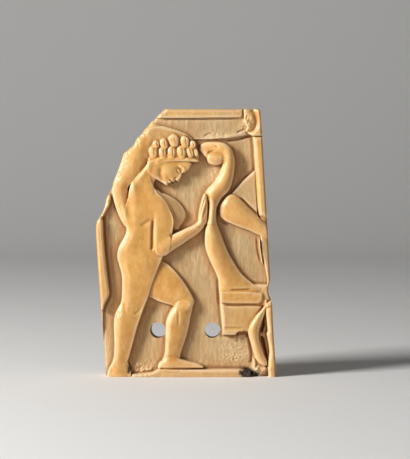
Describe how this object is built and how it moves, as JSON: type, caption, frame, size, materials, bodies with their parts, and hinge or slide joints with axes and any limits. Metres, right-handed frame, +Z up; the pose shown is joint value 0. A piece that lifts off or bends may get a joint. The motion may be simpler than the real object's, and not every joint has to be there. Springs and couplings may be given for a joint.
{
  "type": "carved bone plaque",
  "caption": "Small upright bone plaque carved in relief with a nude figure holding a long-necked bird, corner broken off, drilled for pegs.",
  "frame": {"origin": "middle of the bounding box's bottom face, at the level of the shelf that the plaque stands on", "axes": "+X to the viewer's right along the plaque's width, +Y from the carved front to the plain back, +Z up along its height"},
  "size_m": [0.0504, 0.008, 0.075],
  "materials": {
    "bone": "satin rubbed bone, honey coloured, with brown patina in the hollows and a paler, duller ground"
  },
  "bodies": {
    "root": {"plaque": "bone"}
  },
  "joints": []
}
